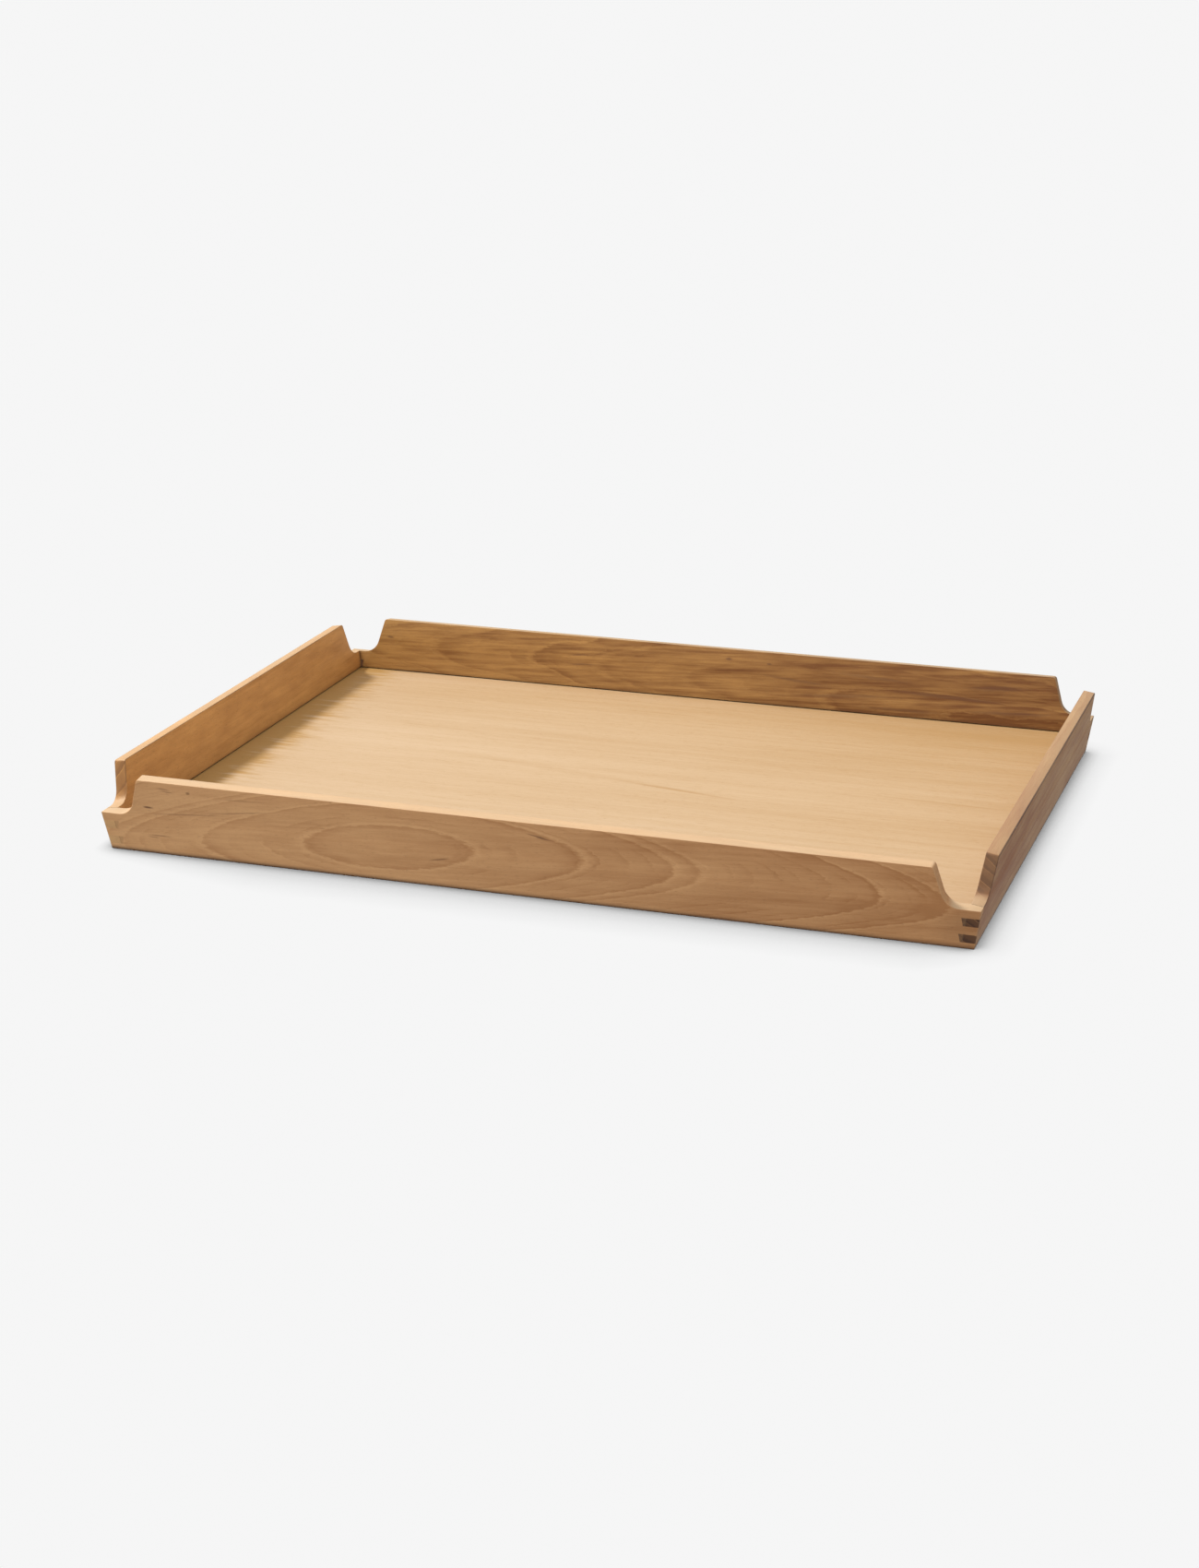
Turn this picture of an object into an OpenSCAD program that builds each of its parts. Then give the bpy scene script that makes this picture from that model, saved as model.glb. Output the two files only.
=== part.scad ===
// Serving tray: four thin flared rails, finger jointed at the corners, around a grooved-in plywood base.
//
// +Z is up and the tray stands on z = 0. The length runs along X, the width along Y, and the origin is
// under the middle of the base. The front rail is the one at -Y, and the right rail the one at +X.
// Each rail is a flat board cut square to its faces, leant outwards by the flare angle and dressed level
// underneath. Its raised middle drops at both ends to a low corner, where the finger joint is.

/* [Overall] */
// Length over the top edges of the end rails
overall_length = 508; // [420:1:620]
// Width over the top edges of the front and back rails
overall_width = 362; // [280:1:460]
// Height from the underside to the highest arris
overall_height = 46; // [42:0.5:60]
// Angle by which all four rails lean outwards
flare = 9; // [4:0.5:14]

/* [Rails] */
// Thickness of the rail boards
rail_t = 7; // [6:0.1:9]

/* [Corner notches] */
// Height of the low corners, to their outer arris
low_corner_h = 22.5; // [21:0.5:26]
// Length of the level stretch from a corner to the notch's curve
corner_flat = 11; // [8:0.5:20]
// Radius of the curve that sweeps up from the low corner
notch_r = 10; // [6:0.5:12]
// Lean of the raised part's ends, away from upright
notch_lean = 16; // [5:1:25]
// Rounding at the ends of the raised part's top edge
top_corner_r = 2; // [1:0.25:3]

/* [Finger joints] */
// Height of one finger
finger_h = 4.75; // [4:0.05:4.9]
// Width of the dark filler at the foot of each over-cut socket
filler_w = 1; // [0.4:0.1:1.5]

/* [Base panel] */
// Height of the base's upper face
panel_top = 12.4; // [11:0.1:14]
// Thickness of the cross-grained core ply
core_t = 3; // [2:0.5:4]
// Thickness of each face veneer
veneer_t = 0.5; // [0.4:0.1:0.8]
// How far the panel enters the rails' grooves
groove_depth = 3; // [2:0.25:4]
// Gap between the panel's upper face and the top of its groove
groove_gap = 0.5; // [0.2:0.1:0.8]

/* [Hidden] */

rail_color = "#b5875a";
end_rail_color = "#bb8a58";
veneer_color = "#e6c79b";
core_color = "#cfae82";
filler_color = "#5a3820";

$fn = 96;
big = 2 * overall_length;

// Slope of the flare, and the rails' thickness along the level
lean = tan(flare);
level_t = rail_t / cos(flare);

// A board's width up its outer face, and the level of the outer top arris that it gives
board_w = (overall_height - rail_t * sin(flare)) / cos(flare);
top_arris_z = board_w * cos(flare);

// Half length and half width over the rails' outer faces at the floor
foot_x = overall_length / 2 - top_arris_z * lean;
foot_y = overall_width / 2 - top_arris_z * lean;

// Low corner, measured up the board's outer face
low_s = low_corner_h / cos(flare);

// Levels of the fingers that the end rails push through the long rails, set out from the low corner down
finger_levels = [for (i = [1, 3]) low_corner_h - (i + 1) * finger_h];

// The groove that holds the panel
panel_t = core_t + 2 * veneer_t;
panel_z = panel_top - panel_t;
panel_x = foot_x + panel_z * lean - level_t + groove_depth;
panel_y = foot_y + panel_z * lean - level_t + groove_depth;

// Turns a drawing in X and Z into a prism that runs right through the tray along Y
module through_y() {
    rotate([90, 0, 0])
        linear_extrude(height = big, center = true)
            children();
}

// The region between two opposite rails' faces that start at +-half on the floor and lean outwards
module between(half, z0, z1) {
    polygon([
        [-half - z0 * lean, z0], [half + z0 * lean, z0],
        [half + z1 * lean, z1], [-half - z1 * lean, z1],
    ]);
}

// What a notch takes from a board: everything past the raised part's end and above the low corner.
// corner is the low corner's place along the board.
module notch(corner) {
    turn = 90 - notch_lean;
    curve = [corner - corner_flat, low_s + notch_r];
    tangent = curve + notch_r * [-cos(notch_lean), -sin(notch_lean)];
    high_s = board_w + notch_r;
    high_u = tangent[0] - (high_s - tangent[1]) * tan(notch_lean);
    translate(curve)
        circle(r = notch_r);
    polygon([
        [curve[0], low_s], [corner + big, low_s], [corner + big, high_s],
        [high_u, high_s], tangent, curve,
    ]);
    // Rounding at the top of the raised part's end
    vertex = [tangent[0] - (board_w - tangent[1]) * tan(notch_lean), board_w];
    reach = top_corner_r * tan(turn / 2);
    centre = vertex - [reach, top_corner_r];
    touch = centre + top_corner_r * [cos(notch_lean), sin(notch_lean)];
    difference() {
        polygon([centre + [0, top_corner_r], vertex + [0, 1], vertex + [1, 0], touch, centre]);
        translate(centre)
            circle(r = top_corner_r);
    }
}

// A front board before its ends are cut: leant out, notched at both ends and dressed level underneath.
// foot is its outer face's distance from the middle at the floor, and corner its low corners' place.
module board(foot, corner) {
    intersection() {
        translate([0, -foot, 0])
            rotate([90 + flare, 0, 0])
                translate([0, 0, -rail_t])
                    linear_extrude(height = rail_t)
                        difference() {
                            translate([-big / 2, -rail_t])
                                square([big, board_w + rail_t]);
                            notch(corner);
                            mirror([1, 0])
                                notch(corner);
                        }
        translate([-big / 2, -big / 2, 0])
            cube([big, big, overall_height + 1]);
    }
}

// Root of a socket in the long rails: it leans the other way from the rails, so it is over-cut at the top
function root(z, level) = foot_x + level * lean - level_t - filler_w - (z - level) * lean;
// Inner face of the end rails at a height
function inner_face(z) = foot_x + z * lean - level_t;

// Socket for one finger in the right-hand end of a long rail
module socket(level) {
    polygon([
        [root(level, level), level], [big / 2, level],
        [big / 2, level + finger_h], [root(level + finger_h, level), level + finger_h],
    ]);
}

// Waste above the right-hand low corner, so that its top falls outwards both ways from a hip
module hip() {
    corner = foot_x + low_corner_h * lean;
    inner = [corner - rail_t * cos(flare), low_corner_h + rail_t * sin(flare)];
    polygon([
        inner, [corner, low_corner_h], [corner + rail_t, low_corner_h],
        [corner + rail_t, low_corner_h + rail_t], [inner[0], low_corner_h + rail_t],
    ]);
}

// The slot that the panel's groove takes from every rail
module panel_slot() {
    translate([-panel_x - groove_gap, -panel_y - groove_gap, panel_z])
        cube([2 * (panel_x + groove_gap), 2 * (panel_y + groove_gap), panel_t + groove_gap]);
}

// A long rail in the front rail's place
module long_rail() {
    difference() {
        intersection() {
            board(foot_y, foot_x + low_corner_h * lean);
            through_y()
                difference() {
                    between(foot_x, -1, overall_height + 1);
                    for (side = [0, 1])
                        mirror([side, 0]) {
                            hip();
                            for (level = finger_levels)
                                socket(level);
                        }
                }
        }
        panel_slot();
    }
}

// An end rail turned into the front rail's place
module end_rail() {
    difference() {
        intersection() {
            board(foot_x, foot_y + low_corner_h * lean);
            through_y() {
                between(foot_y - level_t, -1, overall_height + 1);
                for (level = finger_levels)
                    between(foot_y, level, level + finger_h);
            }
        }
        rotate([0, 0, 90])
            panel_slot();
    }
}

// The filler in the two over-cut sockets of the front rail's right-hand end
module corner_filler() {
    intersection() {
        board(foot_y, foot_x + low_corner_h * lean);
        through_y()
            for (level = finger_levels) {
                top = level + finger_h;
                polygon([
                    [root(level, level), level], [inner_face(level), level],
                    [inner_face(top), top], [root(top, level), top],
                ]);
            }
    }
}

// One ply of the base panel
module ply(z, thickness) {
    translate([-panel_x, -panel_y, z])
        cube([2 * panel_x, 2 * panel_y, thickness]);
}

module front_rail() {
    color(rail_color)
        long_rail();
}

module back_rail() {
    color(rail_color)
        mirror([0, 1, 0])
            long_rail();
}

module left_rail() {
    color(end_rail_color)
        rotate([0, 0, -90])
            end_rail();
}

module right_rail() {
    color(end_rail_color)
        rotate([0, 0, 90])
            end_rail();
}

module base_core() {
    color(core_color)
        ply(panel_z + veneer_t, core_t);
}

module base_top_veneer() {
    color(veneer_color)
        ply(panel_top - veneer_t, veneer_t);
}

module base_bottom_veneer() {
    color(veneer_color)
        ply(panel_z, veneer_t);
}

module front_left_filler() {
    color(filler_color)
        mirror([1, 0, 0])
            corner_filler();
}

module front_right_filler() {
    color(filler_color)
        corner_filler();
}

module back_left_filler() {
    color(filler_color)
        mirror([1, 0, 0])
            mirror([0, 1, 0])
                corner_filler();
}

module back_right_filler() {
    color(filler_color)
        mirror([0, 1, 0])
            corner_filler();
}

front_rail();
back_rail();
left_rail();
right_rail();
base_core();
base_top_veneer();
base_bottom_veneer();
front_left_filler();
front_right_filler();
back_left_filler();
back_right_filler();
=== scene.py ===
import math

import bmesh
import bpy
from bpy.props import FloatProperty, FloatVectorProperty, PointerProperty
from mathutils import Matrix, Vector
from mathutils.bvhtree import BVHTree


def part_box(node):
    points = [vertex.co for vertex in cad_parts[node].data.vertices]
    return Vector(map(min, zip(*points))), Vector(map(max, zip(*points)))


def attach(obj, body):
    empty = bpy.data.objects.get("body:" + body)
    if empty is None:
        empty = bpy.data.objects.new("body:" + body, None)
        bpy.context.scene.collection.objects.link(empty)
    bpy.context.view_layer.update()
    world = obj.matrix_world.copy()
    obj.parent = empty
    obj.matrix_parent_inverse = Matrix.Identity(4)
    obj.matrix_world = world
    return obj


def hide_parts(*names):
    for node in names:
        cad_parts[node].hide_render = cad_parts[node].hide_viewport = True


bl_info = {
    "name": "Serving Tray",
    "version": (1, 0, 0),
    "blender": (4, 5, 0),
    "location": "View3D > Sidebar > Tray",
    "description": "Dresses a finger-jointed serving tray in teak and light veneer, with its studio",
    "category": "Object",
}

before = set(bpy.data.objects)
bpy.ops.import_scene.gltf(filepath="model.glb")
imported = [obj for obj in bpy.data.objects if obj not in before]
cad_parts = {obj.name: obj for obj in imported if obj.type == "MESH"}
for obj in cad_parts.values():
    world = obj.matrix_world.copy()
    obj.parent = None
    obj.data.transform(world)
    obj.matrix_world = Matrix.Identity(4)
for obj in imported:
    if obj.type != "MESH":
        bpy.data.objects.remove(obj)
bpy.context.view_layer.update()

BODY = "root"
MM = 0.001

LONG_RAILS = ("front_rail", "back_rail")
END_RAILS = ("left_rail", "right_rail")
PLIES = ("base_core", "base_top_veneer", "base_bottom_veneer")
CORNER_FILLERS = ("front_left_filler", "front_right_filler", "back_left_filler", "back_right_filler")

# Turn that brings the front rail's own frame to each rail, in degrees
RAIL_TURNS = {"front_rail": 0, "right_rail": 90, "back_rail": 180, "left_rail": 270}

MERGE_GAP = 1e-6
CONTACT_GAP = 2e-5
GROOVE_GAP = 0.0005
FACE_TO_FACE = -0.9
STOREY_NUDGE = 0.001
FLAT_ANGLE = math.radians(1)
SOFT_EDGE_ANGLE = math.radians(25)
EASE_SEGMENTS = 3
ARRIS = "arris"

# The value that the grain swings about, and the value of the plain wood between two rings
MIDDLE = 0.4
PLAIN_WOOD = 0.36
FINE_RING = 1.5
CREVICE_REACH = 0.003
OPEN_SAMPLES = 4
WOOD_IOR = 1.45


# Sizes and colours that a user would change

def colour(name, description, default):
    return FloatVectorProperty(name=name, description=description, default=default, subtype="COLOR")


def share(name, description, default):
    return FloatProperty(
        name=name, description=description, default=default, min=0, max=1, subtype="FACTOR"
    )


def length(name, description, default):
    return FloatProperty(name=name, description=description, default=default, unit="LENGTH")


def angle(name, description, degrees):
    default = math.radians(degrees)
    return FloatProperty(name=name, description=description, default=default, subtype="ANGLE")


def number(name, description, default):
    return FloatProperty(name=name, description=description, default=default)


def rail_colour(rail, wood, default):
    name = f"{rail.capitalize()} rail, {wood} wood"
    return colour(name, f"Colour of the {rail} rail's {wood} wood", default)


class TraySizes(bpy.types.PropertyGroup):
    """Sizes of the tray's boards and joints"""

    flare: angle("Flare", "Angle by which the rails lean outwards", 9)
    rail_thickness: length("Rail thickness", "Thickness of the rail boards", 0.007)
    easing: length("Easing", "Width of the sanded arris along the rails' edges", 0.0007)
    groove_easing: length("Groove easing", "Width of the sanded arris along the groove's lip", 0.0002)
    finger_height: length("Finger height", "Height of one finger of the corner joints", 0.00475)
    filler_foot: length("Filler foot", "Width of the filler at the foot of each over-cut socket", 0.001)


class TeakLook(bpy.types.PropertyGroup):
    """Colours and finish of the oiled teak"""

    front_pale: rail_colour("front", "early", (0.60, 0.33, 0.145))
    front_dark: rail_colour("front", "late", (0.36, 0.160, 0.055))
    back_pale: rail_colour("back", "early", (0.41, 0.212, 0.058))
    back_dark: rail_colour("back", "late", (0.165, 0.058, 0.008))
    left_pale: rail_colour("left", "early", (0.60, 0.30, 0.090))
    left_dark: rail_colour("left", "late", (0.36, 0.155, 0.040))
    right_pale: rail_colour("right", "early", (0.525, 0.340, 0.155))
    right_dark: rail_colour("right", "late", (0.255, 0.096, 0.030))
    pore: colour("Pores", "Colour inside the pores and the pin marks", (0.13, 0.055, 0.022))
    # This colour is also the painted shade in the rails' crevices and the painted shade lines along their
    # arrises and feet
    glue: colour("Glue", "Colour that the glue stains the fingers' end grain", (0.045, 0.018, 0.008))
    # This colour is also the painted highlight on the upward faces and the notch walls
    bare_and_highlight: colour("Bare wood", "Colour where the sanded edges have lost their oil", (0.565, 0.415, 0.25))
    roughness: share("Roughness", "Roughness of the oiled faces", 0.5)


class VeneerLook(bpy.types.PropertyGroup):
    """Colours and finish of the base panel"""

    pale: colour("Pale veneer", "Colour of the veneer's lightest wood", (0.555, 0.395, 0.24))
    dark: colour("Dark veneer", "Colour of the veneer's streaks", (0.40, 0.235, 0.095))
    # This colour is painted shadow: the yellow-brown shade that the left rail casts over the veneer
    oil: colour("Oiled veneer", "Colour where the rail's oil has crept in", (0.40, 0.225, 0.065))
    core: colour("Core ply", "Colour of the core ply", (0.50, 0.33, 0.19))
    roughness: share("Roughness", "Roughness of the veneer", 0.48)


class FillerLook(bpy.types.PropertyGroup):
    """Colour and finish of the joints' filler"""

    colour: colour("Filler", "Colour of the filler in the over-cut sockets", (0.075, 0.032, 0.014))
    thin_colour: colour("Thin filler", "Colour where the wood shows through", (0.46, 0.25, 0.105))
    roughness: share("Roughness", "Roughness of the filler", 0.75)


class StudioSettings(bpy.types.PropertyGroup):
    """Floor, lights and camera"""

    backdrop: number("Backdrop", "Brightness of the floor and backdrop, as the camera sees them", 0.92)
    shadow_depth: share("Shadow depth", "Share of the floor's light that is lost under the tray", 0.75)
    shadow_reach: length("Shadow reach", "How far the tray's soft shadow spreads over the floor", 0.04)
    side_shadow_reach: length("Side shadow reach", "The same, beside the tray's two ends", 0.022)
    contact_depth: share("Contact depth", "Share that is lost as well where the tray touches it", 0.7)
    floor_bounce: number("Floor bounce", "Brightness of the floor, as the tray sees it", 0.5)
    key: number("Key light", "Strength of the soft key light", 2.8)
    key_azimuth: angle("Key azimuth", "Direction of the key light, round from front to right", -95)
    key_elevation: angle("Key elevation", "Height of the key light above the horizon", 54)
    key_spread: angle("Key spread", "Angle that the key light fills, which softens its shadows", 10)
    fill_low: number("Weak fill", "Brightness of the room on the side away from the fill", 0.6)
    fill_high: number("Strong fill", "Brightness of the room on the side of the fill", 1.25)
    fill_azimuth: angle("Fill azimuth", "Direction of the strong fill, round from front to right", -30)
    camera_azimuth: angle("Camera azimuth", "Direction of the camera, round from front to right", 18.84)
    camera_elevation: angle("Camera elevation", "Height of the camera above the horizon", 18.565)
    camera_roll: angle("Camera roll", "Turn of the camera about its own axis", -0.265)
    camera_distance: length("Camera distance", "From the camera to the point it looks at", 1.646)
    camera_target: FloatVectorProperty(
        name="Camera target",
        description="Point that the camera looks at",
        default=(-0.0138, -0.0021, 0.0075),
        subtype="XYZ",
        unit="LENGTH",
    )
    lens: number("Lens", "Focal length on a 36 mm sensor, in millimetres", 63.5)


# Trees of nodes, written as formulas

class Formula:
    """Writes a node tree as formulas: each call adds one node and gives its output socket"""

    def __init__(self, tree):
        self.tree = tree

    def feed(self, socket, value):
        if isinstance(value, bpy.types.NodeSocket):
            self.tree.links.new(value, socket)
        else:
            socket.default_value = value

    def node(self, kind, values=None, **options):
        made = self.tree.nodes.new(kind)
        for name, value in options.items():
            setattr(made, name, value)
        for socket, value in (values or {}).items():
            self.feed(made.inputs[socket], value)
        return made

    def math(self, operation, *values, clamp=False):
        return self.node(
            "ShaderNodeMath", dict(enumerate(values)), operation=operation, use_clamp=clamp
        ).outputs[0]

    def times(self, *values):
        return self.math("MULTIPLY", *values)

    def plus(self, *values):
        return self.math("ADD", *values)

    def minus(self, *values):
        return self.math("SUBTRACT", *values)

    def times_plus(self, *values):
        return self.math("MULTIPLY_ADD", *values)

    def most(self, *values):
        return self.math("MAXIMUM", *values)

    def clamped(self, value):
        return self.math("MULTIPLY", value, 1.0, clamp=True)

    def vector(self, operation, *values, out="Vector"):
        return self.node("ShaderNodeVectorMath", dict(enumerate(values)), operation=operation).outputs[out]

    def scaled(self, vector, factor):
        made = self.node("ShaderNodeVectorMath", {0: vector}, operation="SCALE")
        self.feed(made.inputs["Scale"], factor)
        return made.outputs["Vector"]

    def split(self, vector):
        return self.node("ShaderNodeSeparateXYZ", {0: vector}).outputs

    def joined(self, x, y, z):
        return self.node("ShaderNodeCombineXYZ", {0: x, 1: y, 2: z}).outputs[0]

    def remap(self, value, low, high, new_low=0.0, new_high=1.0, smooth=False):
        kind = "SMOOTHSTEP" if smooth else "LINEAR"
        values = {0: value, 1: low, 2: high, 3: new_low, 4: new_high}
        return self.node("ShaderNodeMapRange", values, interpolation_type=kind).outputs[0]

    def noise(self, vector, detail=2.0, roughness=0.5):
        values = {"Vector": vector, "Scale": 1.0, "Detail": detail, "Roughness": roughness}
        return self.node("ShaderNodeTexNoise", values).outputs["Fac"]

    def fibrous(self, board, along, across, detail=2.0, roughness=0.5):
        """Noise drawn out along the board: its lumps are that long and that wide, in the board's units"""
        return self.noise(
            self.vector("MULTIPLY", board, (1 / along, 1 / across, 1 / across)), detail, roughness
        )

    def mix(self, factor, first, second, blend="MIX"):
        made = self.node("ShaderNodeMix", data_type="RGBA", blend_type=blend)
        for name, value in (("Factor_Float", factor), ("A_Color", first), ("B_Color", second)):
            socket = next(s for s in made.inputs if s.identifier == name)
            if not isinstance(value, (float, bpy.types.NodeSocket)):
                value = (*value, 1.0)
            self.feed(socket, value)
        return next(s for s in made.outputs if s.identifier == "Result_Color")

    def ramp(self, value, stops):
        """A ramp of grey values: stops are (place, value)"""
        made = self.node("ShaderNodeValToRGB", {0: value})
        ramp = made.color_ramp
        while len(ramp.elements) < len(stops):
            ramp.elements.new(0.5)
        for element, (place, grey) in zip(ramp.elements, sorted(stops)):
            element.position = place
            element.color = (grey, grey, grey, 1)
        return made.outputs["Color"]

    def openness(self, distance):
        """Share of the sky above a point that nothing covers within the distance"""
        kind = "ShaderNodeAmbientOcclusion"
        return self.node(kind, {"Distance": distance}, samples=OPEN_SAMPLES).outputs["AO"]

    def geometry(self, kind, **values):
        """The first output of a geometry node; its inputs are given with _ for the spaces in their names"""
        values = {name.replace("_", " "): value for name, value in values.items()}
        return self.node(f"GeometryNode{kind}", values).outputs[0]

    def place(self, coordinate="Object"):
        return self.node("ShaderNodeTexCoord").outputs[coordinate]

    def group(self, tree, **values):
        """An instance of a group; its inputs are given with _ for the spaces in their names"""
        made = self.node("ShaderNodeGroup", node_tree=tree)
        for name, value in values.items():
            self.feed(made.inputs[name.replace("_", " ")], value)
        return made.outputs


def node_group(name, kind, inputs):
    """A new group with these (name, socket, default) inputs: its tree, its formula and the given sockets"""
    tree = bpy.data.node_groups.new(name, kind)
    for label, socket, default in inputs:
        made = tree.interface.new_socket(label, in_out="INPUT", socket_type=socket)
        if default is not None:
            made.default_value = default
    write = Formula(tree)
    return tree, write, write.node("NodeGroupInput").outputs


def give(write, socket, results):
    """Gives a group these outputs, all of one kind, from a dictionary of names and values"""
    for label in results:
        write.tree.interface.new_socket(label, in_out="OUTPUT", socket_type=socket)
    ends = write.node("NodeGroupOutput").inputs
    for label, value in results.items():
        write.feed(ends[label], value)


FLOAT = "NodeSocketFloat"
VECTOR = "NodeSocketVector"
ORIGIN = (0.0, 0.0, 0.0)


def shader_group(name, inputs):
    """Decorator for a function that writes a shader group and gives its outputs by name. The group is built
    once. Its inputs and outputs are numbers, but an input is a vector where its default is one"""

    def shared(fill):
        def tree():
            if name not in bpy.data.node_groups:
                sockets = [
                    (label, VECTOR if isinstance(default, tuple) else FLOAT, default)
                    for label, default in inputs.items()
                ]
                _, write, given = node_group(name, "ShaderNodeTree", sockets)
                give(write, FLOAT, fill(write, given))
            return bpy.data.node_groups[name]

        tree.__doc__ = fill.__doc__
        return tree

    return shared


@shader_group(
    "Growth",
    {
        "Board": ORIGIN,
        "Pith Height": 27.0,
        "Pith Depth": -40.0,
        "Bow": 0.00018,
        "Bow Centre": 105.0,
        "Flame Centre": -76.0,
        "Flame Length": 56.0,
        "Taper": 0.114,
        "Wander": 3.0,
        "Jag": 1.1,
    },
)
def growth_group(write, given):
    """Distance from the pith, in millimetres, with the flame that the stem's taper draws on a flat face"""
    board = write.scaled(given["Board"], 1 / MM)
    along, depth, height = write.split(board)[:3]

    # The stem bows, and wanders slowly along its length
    from_bow = write.minus(along, given["Bow Centre"])
    bow = write.times(write.times(from_bow, from_bow), given["Bow"])
    slow = write.minus(write.fibrous(board, 60, 18, 2), 0.5)
    wander = write.times(slow, given["Wander"])
    pith = write.plus(write.minus(given["Pith Height"], bow), wander)
    up = write.minus(height, pith)
    into = write.minus(depth, given["Pith Depth"])
    radius = write.math("SQRT", write.times_plus(up, up, write.times(into, into)))
    from_face = write.minus(radius, write.math("ABSOLUTE", given["Pith Depth"]))

    # The taper, round at the flame's heart and straight away from it
    from_heart = write.minus(along, given["Flame Centre"])
    round_off = write.times(given["Flame Length"], given["Flame Length"])
    reach = write.math("SQRT", write.times_plus(from_heart, from_heart, round_off))
    flame = write.times(write.minus(reach, given["Flame Length"]), given["Taper"])

    # Small steps in the ring lines
    rough = write.minus(write.fibrous(board, 6, 1.6, 4, 0.65), 0.5)
    jag = write.times(rough, given["Jag"])
    return {"Radius": write.plus(write.plus(from_face, flame), jag)}


@shader_group("Fibre", {"Board": ORIGIN, "Offset": ORIGIN, "Pore Level": 0.62, "Slope": 0.0})
def fibre_group(write, given):
    """The grain that runs along a board: fibre, streaks, clouds, mottle and open pores, all from 0 to 1"""
    board = write.vector("ADD", write.scaled(given["Board"], 1 / MM), given["Offset"])
    along, depth, height = write.split(board)[:3]
    level = write.minus(height, write.times(along, given["Slope"]))
    board = write.joined(along, depth, level)
    grain = {
        "Fibre": write.fibrous(board, 16, 0.45, 3, 0.65),
        "Streak": write.fibrous(board, 55, 2.6, 3, 0.6),
        "Cloud": write.fibrous(board, 70, 14, 2),
        "Mottle": write.fibrous(board, 22, 6, 2, 0.5),
    }
    grain = {name: write.remap(value, 0.3, 0.7) for name, value in grain.items()}
    dashes = write.fibrous(board, 3.2, 0.3, 1)
    top = write.plus(given["Pore Level"], 0.1)
    grain["Pores"] = write.remap(dashes, given["Pore Level"], top, smooth=True)
    return grain


@shader_group(
    "Grain Mark",
    {"Board": ORIGIN, "Along": 0.0, "Up": 0.0, "Length": 8.0, "Height": 1.0, "Slope": 0.0},
)
def mark_group(write, given):
    """A pin mark or dark streak that lies along the grain, from 0 round it to 1 in it"""
    board = write.scaled(given["Board"], 1 / MM)
    along, _, height = write.split(board)[:3]
    away = write.minus(along, given["Along"])
    line = write.times_plus(away, given["Slope"], given["Up"])
    broken = write.times(write.minus(write.fibrous(board, 9, 1.2, 2), 0.5), 1.4)
    rise = write.plus(write.minus(height, line), broken)
    along_share = write.math("DIVIDE", away, given["Length"])
    up_share = write.math("DIVIDE", rise, given["Height"])
    square = write.times_plus(along_share, along_share, write.times(up_share, up_share))
    return {"Mark": write.remap(write.math("SQRT", square), 0.15, 0.6, 1.0, 0.0, smooth=True)}


@shader_group("Even Rings", {"Radius": 0.0, "Width": 4.0})
def even_rings_group(write, given):
    """Rings of about one width, each as dark as chance has it"""
    ratio = write.math("DIVIDE", given["Radius"], given["Width"])
    uneven = write.noise(write.joined(write.times(ratio, 0.6), 0.0, 0.0), 1.0)
    count = write.times_plus(uneven, 1.6, ratio)
    number = write.math("FLOOR", count)
    profile = [(0.0, 0.34), (0.5, 0.4), (0.88, 1.0), (0.95, 0.08)]
    within = write.ramp(write.math("FRACT", count), profile)
    chance = write.node("ShaderNodeTexWhiteNoise", {"W": number}, noise_dimensions="1D").outputs["Value"]
    dark = write.remap(chance, 0.0, 1.0, 0.35, 1.0)
    return {"Ring": write.times_plus(write.minus(within, PLAIN_WOOD), dark, PLAIN_WOOD)}


@shader_group("Crevice", {"Reach": 0.003, "Spread": 0.9, "Most Dirt": 0.88})
def crevice_group(write, given):
    """Dirt in the narrow gaps where pieces meet, from 0 to 1. Spread is how open a place still gets dirt"""
    openness = write.openness(given["Reach"])
    return {"Dirt": write.remap(openness, 0.48, given["Spread"], given["Most Dirt"], 0.0, smooth=True)}


@shader_group(
    "End Grain",
    {
        "Across": 0.0,
        "Ring": 0.4,
        "Shoulder": 0.0,
        "Finger Oil": 0.2,
        "Shoulder Oil": 0.0,
        "Finger Glue": 0.0,
    },
)
def end_grain_group(write, given):
    """Wood sawn across its fibres, and the oil and glue that it has drunk there, all from 0 to 1"""
    sawn = write.remap(given["Across"], 0.45, 0.85, smooth=True)
    banded = write.times(sawn, write.remap(given["Ring"], 0.08, 0.5, 0.12, 1.0))
    oil = write.remap(given["Shoulder"], 0.0, 1.0, given["Finger Oil"], given["Shoulder Oil"])
    glue = write.remap(given["Shoulder"], 0.0, 1.0, given["Finger Glue"], 0.0)
    return {"Sawn": sawn, "Oil": write.times(banded, oil), "Glue": write.times(banded, glue)}


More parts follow.
